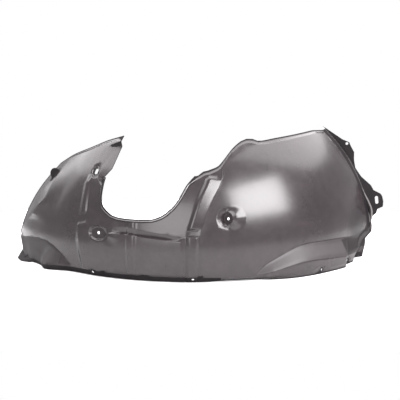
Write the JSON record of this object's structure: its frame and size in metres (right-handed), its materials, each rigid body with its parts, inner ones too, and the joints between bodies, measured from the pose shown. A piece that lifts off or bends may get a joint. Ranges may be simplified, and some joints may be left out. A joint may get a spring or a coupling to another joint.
{
  "type": "wheel arch liner",
  "caption": "Front wheel arch liner moulded in thin black plastic: an arched, crowned sheet with a strut cut-out, ribs, pockets, fixing holes, a turned-out foot and a flanged rear end.",
  "frame": {"origin": "centre of the bounding box, on the plane of the outboard edge that the liner stands on", "axes": "+X along the car towards the end with the flat flange, +Z from the outboard edge to the strut side, -Y towards the top of the arch"},
  "size_m": [0.8942, 0.3374, 0.3181],
  "materials": {
    "liner": "satin black polypropylene, glossy where the tool was smooth"
  },
  "bodies": {
    "root": {"liner": "liner"}
  },
  "joints": []
}
